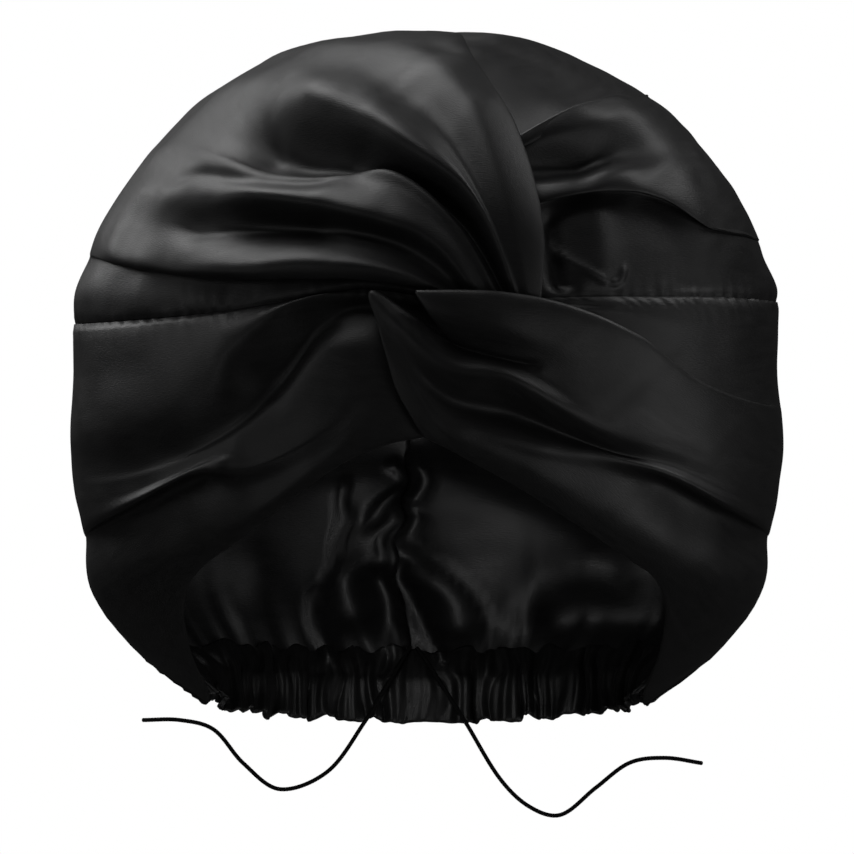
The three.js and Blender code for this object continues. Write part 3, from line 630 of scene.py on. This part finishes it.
BACK_FOLDS_RIGHT = [
    {"fold": "broad_swell", "start": (2, -20), "middle": (28, -30), "end": (64, -48), "width": 14,
     "height": -6.5, "far": 20},
    {"fold": "seam_ridge", "start": (-6, -48), "middle": (-2, -67), "end": (7.5, -88), "width": 2,
     "height": -3, "fade": 0.12},
    {"fold": "hollow", "start": (6, -57), "middle": (10, -62), "end": (12, -70), "width": 8.5, "height": 6},
    {"fold": "curved_tuck", "start": (3, -47), "middle": (16, -58), "end": (23, -72), "width": 1.7,
     "height": -2, "fade": 0.15},
    {"fold": "curved_tuck_low", "start": (22, -67), "middle": (23.4, -79), "end": (22, -98), "width": 1.6,
     "height": -1.8, "fade": 0.15},
    {"fold": "hollow_edge", "start": (32, -78), "middle": (52, -58), "end": (84, -64), "width": 12,
     "height": -3.6, "far": 6, "fade": 0.2},
    {"fold": "side_hollow", "start": (50, -69), "middle": (64, -67), "end": (82, -68), "width": 10,
     "height": 6},
    {"fold": "pucker", "start": (-3.5, -37), "middle": (-1.5, -41), "end": (1, -44), "width": 4,
     "height": -3},
    {"fold": "pucker_top", "start": (-4.5, -12), "middle": (-1, -22), "end": (-3, -31), "width": 2.4,
     "height": -2, "fade": 0.2},
]

# Small folds on the front of the band.
BAND_LEFT_FOLDS = [
    {"fold": "side_wrinkle", "start": (-70, -6), "middle": (-74, -14), "end": (-80, -23), "width": 2.2,
     "height": 0.8, "fade": 0.3},
]
BAND_RIGHT_FOLDS = [
    {"fold": "crease_lip", "start": (4, 32), "middle": (21, 26), "end": (41, 22.5), "width": 1.2,
     "height": -1.7, "far": 1.7, "fade": 0.12},
]
BACK_SEAM_CLEAR = 3.5
BAND_CRINKLE = 0.3

# The hem of the face edge at each station: its width as a share of the fold beside it, and how deep it lies
# just inside the edge. Its own edge lies deeper.
HEM_WIDTH = np.array([0.55] * 5 + [0.3, 0.06, 0.06])
HEM_DEPTH = np.array([2.2] * 5 + [1.4, 0.4, 0.4])
HEM_TURN = 0.02
HEM_EDGE_DEPTH = 1.25

# The free edge of the right half in the twist: how far it turns under as a share of the first stretch of
# cloth, and how deep. Its sewn row runs on behind the twist instead.
TIP_STATION = -0.05
TIP_TURN = 0.4
TIP_DEPTH = 3.2
TIP_RUN_ON = 0.5

# The ruched back seam, and the nape's gathers, counted in a whole turn round the cap.
RUCHE_FOOT = (-84, -58)
RUCHE_HEAD = (15, 42)
RUCHE_VALLEY = {"depth": 4, "width": 26}
RUCHES = {"height": 0.7, "width": 8, "clear": 2.5, "pace": 0.33, "slant": 0.12}
RUCHE_BEND = {"depth": 1.5, "pace": 0.11}
SEAM_PULL = {"aside": 5, "height": -50, "reach": 18, "middle": -6, "width": 24}
SEAM_KINKS = {"share": 0.3, "pace": 0.42, "height": -35, "reach": 25}
NAPE_GATHERS = 57
NAPE_DRIFT = [
    {"height": 1.5, "pace": 5, "start": 0},
    {"height": 1.1, "pace": 11, "start": 0.7},
    {"height": 0.6, "pace": 23, "start": 2},
]
NAPE_HEIGHT = -92
NAPE_RIPPLE = 1.5
NAPE_REACH = 11.25
NAPE_REACH_SWING = [{"height": 6.75, "pace": 0.43, "start": 1}]


def hemmed(lines, proud):
    """The fold lines with the hem of the last one: a line just inside the edge and the hem's own edge."""
    inwards = lines[-2] - lines[-1]
    turn = lines[-1] + HEM_TURN * inwards
    edge = lines[-1] + HEM_WIDTH[:, None] * inwards
    sunk = proud[-1] - np.stack([HEM_DEPTH, HEM_EDGE_DEPTH * HEM_DEPTH])
    return np.concatenate([lines, turn[None], edge[None]]), np.concatenate([proud, sunk])


def turned_tip(lines, proud):
    """The fold lines with one more station before their tips, turned back under the cloth. The first line is
    sewn, and runs straight on there."""
    sewn = np.arange(len(lines)) == 0
    turn = np.where(sewn, -TIP_RUN_ON, TIP_TURN)
    sunk = np.where(sewn, TIP_RUN_ON * (proud[:, 1] - proud[:, 0]), TIP_DEPTH)
    under = lines[:, 0] + turn[:, None] * (lines[:, 1] - lines[:, 0])
    lines = np.concatenate([under[:, None], lines], 1)
    return lines, np.concatenate([(proud[:, 0] - sunk)[:, None], proud], 1)


def back_ruche(base, side):
    """The back seam draws the band in: a valley along the seam, with small folds across it that die away."""
    z = base[..., 2]
    from_seam = seam_distance(base)
    reach = smoothstep(z, *RUCHE_FOOT) * (1 - smoothstep(z, *RUCHE_HEAD)) * (base[..., 1] > 0)
    valley = RUCHE_VALLEY["depth"] * bell(from_seam, RUCHE_VALLEY["width"])
    beside = bell(from_seam, RUCHES["width"]) * smoothstep(from_seam, 0, RUCHES["clear"])
    turn = RUCHES["pace"] * z + RUCHE_BEND["depth"] * np.sin(RUCHE_BEND["pace"] * z + side) + side
    folds = RUCHES["height"] * np.cos(turn + RUCHES["slant"] * side * from_seam)
    return reach * (beside * folds - valley)


def wandering_seam(points):
    """The back seam pulled sideways, most at one height, with a few small kinks."""
    x, y, z = np.moveaxis(points, -1, 0)
    kinks = np.sin(SEAM_KINKS["pace"] * z) * bell(z - SEAM_KINKS["height"], SEAM_KINKS["reach"])
    pull = bell(z - SEAM_PULL["height"], SEAM_PULL["reach"]) + SEAM_KINKS["share"] * kinks
    near = bell(x - SEAM_PULL["middle"], SEAM_PULL["width"]) * (y > 0)
    return np.stack([x - SEAM_PULL["aside"] * pull * near, y, z], -1)


def nape_phase(azimuth):
    """The phase of the nape's gathers round the back: even turns with slow drifts to make them uneven."""
    turn = np.radians(azimuth)
    return NAPE_GATHERS * turn + drift(turn, NAPE_DRIFT)


def gather_tops(d, z):
    """The tops of the nape's gathers: ripples that die away upwards, some further up than others."""
    azimuth = np.degrees(np.arctan2(d[..., 0], -d[..., 1])) % 360
    phase = nape_phase(azimuth)
    reach = NAPE_REACH + drift(phase, NAPE_REACH_SWING)
    return NAPE_RIPPLE * np.cos(phase) * np.exp(-np.maximum(z - NAPE_HEIGHT, 0) / reach)


def band_half(node, seam, rows, folds, back_folds, side, tip_turns=False):
    """One half of the band: its fold lines with their hem, small folds on the front and inside the back, the
    puckered and the ruched seam, soft unevenness and the tops of the nape's gathers. With tip_turns its free
    edge in the twist is turned under."""
    lines, proud = hemmed(*fold_lines([seam] + rows, side))
    stations = STATIONS
    if tip_turns:
        lines, proud = turned_tip(lines, proud)
        stations = np.concatenate([[TIP_STATION], STATIONS])
    d, stand = cloth_lines(lines, proud, stations)
    base = standing(d, stand)
    front = facing_front(d)
    off_seam = smoothstep(run_length(base), 0, SEAM_CLEAR)
    off_back_seam = smoothstep(seam_distance(base), 0, BACK_SEAM_CLEAR)
    detail = front * curved_folds(base, folds) + (1 - front) * off_back_seam * curved_folds(base, back_folds)
    detail += sewn_seam(base) + back_ruche(base, side) + back_groove(base, side)
    detail += BAND_CRINKLE * (1 + front) * off_seam * crinkle(base)
    detail += (1 - front) * gather_tops(d, base[..., 2])
    satin_piece(node, wandering_seam(standing(d, stand + detail)), side)


band_half("band_left", SEAM_LEFT, BAND_LEFT, BAND_LEFT_FOLDS, BACK_FOLDS_LEFT, -1)
band_half("band_right", SEAM_RIGHT, BAND_RIGHT, BAND_RIGHT_FOLDS, BACK_FOLDS_RIGHT, 1,
          tip_turns=True)

# Nape casing: the band's lower edge at the back, turned in round an elastic that gathers it. Below the
# elastic the cloth stands out as a ruffle with a wavy edge.
CASING_CORNER_AZIMUTH = 84
CASING_INSET = 2.9
CASING = [
    {"line": "sewn_edge", "corner": -74.5, "middle": -82, "inset": 0.1, "ripple": 0.7},
    {"line": "puff", "corner": -79, "middle": -87, "inset": CASING_INSET - 0.7, "ripple": 1.1},
    {"line": "channel", "corner": -83.5, "middle": -92, "inset": CASING_INSET + 0.7, "ripple": 1.5},
    {"line": "elastic", "corner": -87, "middle": -95.5, "inset": CASING_INSET + 1.3, "ripple": 1.3},
    {"line": "flare", "corner": -92, "middle": -102.5, "inset": CASING_INSET + 0.6, "ripple": 1.9},
    {"line": "ruffle", "corner": -96, "middle": -108.5, "inset": CASING_INSET + 0.2, "ripple": 2.3},
    {"line": "turned_hem", "corner": -95, "middle": -107.5, "inset": CASING_INSET - 0.8, "ripple": 2.1},
]
CASING_POINTS = 960
CASING_POINTS_PER_LINE = 6
CASING_LINES = [row["line"] for row in CASING]

# The gathers: how crooked, how uneven, how shallow at the corners and the back seam, and their fine creases.
CROOKED = [
    {"height": 0.9, "across": 0.9, "along": 0.31},
    {"height": 0.5, "across": 1.9, "along": -0.17},
]
GATHER_UNEVEN = [
    {"share": 0.28, "pace": 0.37, "start": 1},
    {"share": 0.15, "pace": 0.83, "start": 0},
]
CORNER_DEPTH = 0.35
CORNER_STRETCH = (0.02, 0.12)
SEAM_FLATTENED = 0.6
SEAM_FLAT_WIDTH = 6
PUFF_POWER = 1.3
FINE_CREASES = {"height": 0.28, "pace": 2.6, "crooked": 1.4}
FINE_CREASE_DRIFT = [{"height": 2, "pace": 0.21, "start": 0}]

# The uneven top edge and the wavy lower one: waves of the gathers' phase, and the lines between which they
# fade, counted from the top. The top also follows the band's folds, the outward ones by very little.
RAGGED_TOP = [
    {"height": 1, "pace": 0.5, "start": 2 + np.pi / 2},
    {"height": 0.8, "pace": 0.77, "start": np.pi / 2},
]
SCALLOPS = [{"height": 1.2, "pace": 0.5, "start": 0.5}]
RAGGED_FADE = (0, 2)
SCALLOP_RISE = (2.5, 5)
FOLLOWING_FADE = (0.5, 3)
FOLLOWS_OUTWARDS = 0.6
UPRIGHT_CHANGE = (0.2, 0.7)
STEEPEST_SHARE = 0.999


def upright(azimuth, level, elastic_level):
    """Azimuths that keep each gather upright as seen from the front, apart from the corners of the casing:
    the sine of the azimuth times the half width is what it is at the elastic."""
    width = smooth(FORM["level"], FORM["half_width"], level)
    elastic_width = smooth(FORM["level"], FORM["half_width"], elastic_level)
    share = np.clip(np.sin(np.radians(azimuth)) * elastic_width / width, -STEEPEST_SHARE, STEEPEST_SHARE)
    straight = 180 - np.degrees(np.arcsin(share))
    return azimuth + smoothstep(-np.cos(np.radians(azimuth)), *UPRIGHT_CHANGE) * (straight - azimuth)


def gather_depth(u, azimuth, phase):
    """How deep each gather is: uneven, and shallower at the corners and at the back seam."""
    off_corner = smoothstep(np.minimum(u, 1 - u), *CORNER_STRETCH)
    deep = (CORNER_DEPTH + (1 - CORNER_DEPTH) * off_corner) * uneven(phase, GATHER_UNEVEN)
    return deep * (1 - SEAM_FLATTENED * bell(azimuth - BACK_SEAM_AZIMUTH, SEAM_FLAT_WIDTH))


def gather_wave(across, phase):
    """The section of the gathers: puffs that are round on the inside, a power of a sine's size, a little
    crooked from line to line, with fine creases on them."""
    crooked = sum(row["height"] * np.sin(row["across"] * across + row["along"] * phase) for row in CROOKED)
    crease_phase = FINE_CREASES["pace"] * phase + FINE_CREASES["crooked"] * crooked
    creases = FINE_CREASES["height"] * np.cos(crease_phase + drift(phase, FINE_CREASE_DRIFT))
    return 1 - 2 * np.abs(np.sin((phase + crooked) / 2)) ** PUFF_POWER + creases


def casing_cloth():
    """Level lines round the nape joined smoothly, with the gathers standing on them. The top edge is uneven
    and follows the band's folds, and the lower edge is wavy."""
    u = np.linspace(0, 1, CASING_POINTS)
    azimuth = CASING_CORNER_AZIMUTH + (360 - 2 * CASING_CORNER_AZIMUTH) * u
    rows = np.arange(len(CASING))
    across = np.linspace(0, rows[-1], rows[-1] * CASING_POINTS_PER_LINE + 1)[:, None]
    column = {name: smooth(rows, [row[name] for row in CASING], across)
              for name in ("corner", "middle", "inset", "ripple")}
    phase = nape_phase(azimuth)
    deep = gather_depth(u, azimuth, phase)
    height = column["corner"] + (column["middle"] - column["corner"]) * np.sin(np.pi * u)
    height = height + (1 - smoothstep(across, *RAGGED_FADE)) * drift(phase, RAGGED_TOP)
    height = height + smoothstep(across, *SCALLOP_RISE) * drift(phase, SCALLOPS) * deep
    level = level_of(height)
    elastic_level = level[CASING_LINES.index("elastic") * CASING_POINTS_PER_LINE]
    d = direction(upright(np.broadcast_to(azimuth, height.shape), level, elastic_level), level)
    stand = column["ripple"] * deep * gather_wave(across, phase) - column["inset"]
    base = standing(d, stand)
    on_left = azimuth > BACK_SEAM_AZIMUTH
    folds = np.where(on_left, curved_folds(base, BACK_FOLDS_LEFT), curved_folds(base, BACK_FOLDS_RIGHT))
    following = 1 - smoothstep(across, *FOLLOWING_FADE)
    return standing(d, stand + following * np.minimum(folds, FOLLOWS_OUTWARDS))


satin_piece("nape_casing", casing_cloth()[::-1], 1)

# Drawstring ends: two ends of one thin braided black cord. They leave the back seam just above the casing,
# pass over its inner face and hang free, cut off bare.
CORD_DIAMETER = 1.5
CORD_SIDES = 16
CORD_STEPS = 520
BRAID_PITCH = 2.2
STRAND_RELIEF = 0.06
END_ROUNDING = (-0.25, 0.5)
CORD_LEFT = [
    {"place": "leaves_seam", "at": (-6.2, 93.6, -80.6)},
    {"place": "over_casing", "at": (-9, 88.1, -85)},
    {"place": "over_elastic", "at": (-11.7, 84.6, -89.5)},
    {"place": "inside_hem", "at": (-14.5, 80.8, -94)},
    {"place": "below_hem", "at": (-23, 75, -108)},
    {"place": "fall", "at": (-36.5, 74, -126)},
    {"place": "bottom", "at": (-54, 74, -132.5)},
    {"place": "rise", "at": (-67.5, 74, -123)},
    {"place": "shoulder", "at": (-78.5, 74, -110.5)},
    {"place": "level", "at": (-91, 74, -107)},
    {"place": "cut_end", "at": (-105, 74, -107)},
]
CORD_RIGHT = [
    {"place": "leaves_seam", "at": (-3.8, 93.7, -80.7)},
    {"place": "over_casing", "at": (-0.5, 88.6, -85)},
    {"place": "over_elastic", "at": (2.6, 84.9, -89.5)},
    {"place": "inside_hem", "at": (5.5, 81.3, -94)},
    {"place": "below_hem", "at": (14.5, 76.4, -108)},
    {"place": "fall", "at": (27, 75, -128.5)},
    {"place": "turn", "at": (38, 75, -139)},
    {"place": "bottom", "at": (49.5, 75, -142)},
    {"place": "rise", "at": (62.5, 75, -132)},
    {"place": "shoulder", "at": (75, 75, -122.8)},
    {"place": "level", "at": (88, 75, -121)},
    {"place": "cut_end", "at": (102, 75, -123)},
]
CORDING_ROUGHNESS = 0.9
CORDING_SHINE = 0.1
CORDING = {"threads": 9000, "shade": "Height", "bump": 0.4, "relief": 0.0002,
           "dark": (0.003, 0.003, 0.003, 1), "light": (0.012, 0.012, 0.012, 1)}

# The braid is matt, with hardly any shine.
cording = woven_finish("cording", **CORDING)
braid = cording.node_tree.nodes["Principled BSDF"]
braid.inputs["Roughness"].default_value = CORDING_ROUGHNESS
braid.inputs["Specular IOR Level"].default_value = CORDING_SHINE


def braided_cord(name, route, node):
    """A tube carried along the route. Its radius rises and falls on two families of crossing helices, as the
    strands of a braid do, and both ends are closed and slightly rounded."""
    stops = np.array([row["at"] for row in route], float)
    chord = np.cumsum(np.sqrt(np.linalg.norm(np.diff(stops, axis=0, prepend=stops[:1]), axis=1)))
    fine = smooth(chord, stops, np.linspace(0, chord[-1], FINE_POINTS))
    length = run_length(fine)
    at = np.linspace(0, length[-1], CORD_STEPS)
    path = np.stack([np.interp(at, length, fine[:, axis]) for axis in range(3)], -1)
    tangent = unit(np.gradient(path, axis=0))
    sideways = unit(np.cross(tangent, (0, 1, 0)))
    upwards = np.cross(sideways, tangent)
    turn = np.linspace(0, 2 * np.pi, CORD_SIDES, endpoint=False)
    twist = 2 * np.pi * at[:, None] / BRAID_PITCH
    strands = np.cos(2 * turn + twist) * np.cos(2 * turn - twist)
    rounding = np.sqrt(smoothstep(np.minimum(at, length[-1] - at), *END_ROUNDING))[:, None]
    radius = CORD_DIAMETER / 2 * (1 + STRAND_RELIEF * strands) * rounding
    ring = np.cos(turn)[None, :, None] * sideways[:, None] + np.sin(turn)[None, :, None] * upwards[:, None]
    points = path[:, None] + radius[..., None] * ring
    index = np.arange(CORD_STEPS * CORD_SIDES).reshape(CORD_STEPS, CORD_SIDES)
    after = np.roll(index, -1, axis=1)
    sides = np.stack([index[:-1], index[1:], after[1:], after[:-1]], -1).reshape(-1, 4)
    faces = sides.tolist() + [index[0].tolist(), index[-1][::-1].tolist()]
    mesh = bpy.data.meshes.new(name)
    mesh.from_pydata((points.reshape(-1, 3) * MM).tolist(), [], faces)
    uv = mesh.uv_layers.new(name="cloth")
    places = np.stack(np.broadcast_arrays(at[:, None], turn * CORD_DIAMETER / 2), -1).reshape(-1, 2) * MM
    corner = np.empty(len(mesh.loops), int)
    mesh.loops.foreach_get("vertex_index", corner)
    uv.data.foreach_set("uv", places[corner].astype(np.float32).reshape(-1))
    mesh.shade_smooth()
    mesh.materials.append(cording)
    piece = bpy.data.objects.new(name, mesh)
    bpy.context.collection.objects.link(piece)
    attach(piece, "root")
    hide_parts(node)


braided_cord("cord_left", CORD_LEFT, "drawstring_left")
braided_cord("cord_right", CORD_RIGHT, "drawstring_right")

# Studio: a pale floor well below the cap, broad soft lights above it and on both sides, a small lamp in its
# hollow that lights the back of the band, and a camera far off in front with a long lens. Sizes and places
# are in metres, and the sensor's width is in millimetres.
FLOOR_HEIGHT = -0.75
FLOOR_REACH = 0.8
FLOOR_COLOUR = (0.86, 0.86, 0.86, 1)
FLOOR_ROUGHNESS = 0.9
ROOM_LIGHT = (0.02, 0.02, 0.02, 1)
BACKDROP = (1, 1, 1, 1)
CAMERA_DISTANCE = 3
PHOTO_PIXELS = 854
PIXEL_SIZE = 0.36 * MM
FRAME_WIDTH = PHOTO_PIXELS * PIXEL_SIZE
FRAME_MIDDLE = (0.2 * MM, 1.1 * MM)
SENSOR_WIDTH = 36
CAP_MIDDLE = (0, 0, 0)
WIDEST_SPREAD = 180
SOFT_LIGHTS = [
    {"light": "key", "from": (-0.53, 0.5, 1.53), "size": (0.9, 1), "watts": 9},
    {"light": "left_top", "from": (-0.72, 0, 1.54), "size": (0.7, 0.7), "watts": 6.5},
    {"light": "left_back", "from": (-1.2, 0.84, 0.85), "size": (0.8, 0.8), "watts": 6},
    {"light": "left", "from": (-1.6, -0.43, 0.35), "size": (0.7, 0.7), "watts": 1.3},
    {"light": "front_top", "from": (-0.36, -0.62, 1.54), "size": (0.7, 0.7), "watts": 4},
    {"light": "right_top", "from": (1.14, 0.2, 1.24), "size": (0.7, 0.7), "watts": 5},
    {"light": "right", "from": (1.46, 0.13, 0.85), "size": (0.7, 0.7), "watts": 0.8},
    {"light": "right_side", "from": (1.6, -0.43, -0.3), "size": (0.7, 0.7), "watts": 2.4},
    {"light": "low_left", "from": (-1, -1.15, -0.42), "size": (0.7, 0.5), "watts": 0.8},
    {"light": "low_right", "from": (1, -1.15, -0.42), "size": (0.7, 0.5), "watts": 1.2},
    {"light": "inside", "from": (-0.045, -0.075, 0.005), "to": (0.005, 0.11, -0.05), "size": (0.05, 0.03),
     "watts": 0.013, "spread": 100},
]


def pale_floor():
    """A flat square sheet in matt paint, which doesn't show in the sheen of the satin."""
    mesh = bpy.data.meshes.new("floor")
    corners = [(-1, -1), (1, -1), (1, 1), (-1, 1)]
    points = [(x * FLOOR_REACH, y * FLOOR_REACH, FLOOR_HEIGHT) for x, y in corners]
    mesh.from_pydata(points, [], [(0, 1, 2, 3)])
    paint = bpy.data.materials.new("floor_paint")
    paint.use_nodes = True
    shader = paint.node_tree.nodes["Principled BSDF"]
    shader.inputs["Base Color"].default_value = FLOOR_COLOUR
    shader.inputs["Roughness"].default_value = FLOOR_ROUGHNESS
    mesh.materials.append(paint)
    floor = bpy.data.objects.new("floor", mesh)
    bpy.context.collection.objects.link(floor)
    floor.visible_glossy = False


def soft_light(row):
    """A flat rectangular lamp that shines from one place to another and isn't seen itself."""
    lamp = bpy.data.lights.new(row["light"], "AREA")
    lamp.shape = "RECTANGLE"
    lamp.size, lamp.size_y = row["size"]
    lamp.energy = row["watts"]
    lamp.spread = np.radians(row.get("spread", WIDEST_SPREAD))
    holder = bpy.data.objects.new(row["light"], lamp)
    backwards = Vector(row["from"]) - Vector(row.get("to", CAP_MIDDLE))
    holder.location = row["from"]
    holder.rotation_euler = backwards.to_track_quat("Z", "Y").to_euler()
    holder.visible_camera = False
    bpy.context.collection.objects.link(holder)


pale_floor()
for row in SOFT_LIGHTS:
    soft_light(row)

# The camera sees a white backdrop, and the cap a dim room. Inputs 6 and 7 of the mix node are its two
# colours, and output 2 is the mixed one.
studio = bpy.data.worlds.new("studio")
studio.use_nodes = True
sky = studio.node_tree.nodes["Background"]
seen = studio.node_tree.nodes.new("ShaderNodeLightPath")
choose = studio.node_tree.nodes.new("ShaderNodeMix")
choose.data_type = "RGBA"
choose.inputs[6].default_value = ROOM_LIGHT
choose.inputs[7].default_value = BACKDROP
studio.node_tree.links.new(seen.outputs["Is Camera Ray"], choose.inputs[0])
studio.node_tree.links.new(choose.outputs[2], sky.inputs["Color"])
bpy.context.scene.world = studio
bpy.context.scene.view_settings.view_transform = "Standard"

lens = bpy.data.cameras.new("camera")
lens.sensor_width = SENSOR_WIDTH
lens.lens = SENSOR_WIDTH * CAMERA_DISTANCE / FRAME_WIDTH
camera = bpy.data.objects.new("camera", lens)
camera.location = (FRAME_MIDDLE[0], -CAMERA_DISTANCE, FRAME_MIDDLE[1])
camera.rotation_euler = (np.pi / 2, 0, 0)
bpy.context.collection.objects.link(camera)
bpy.context.scene.camera = camera
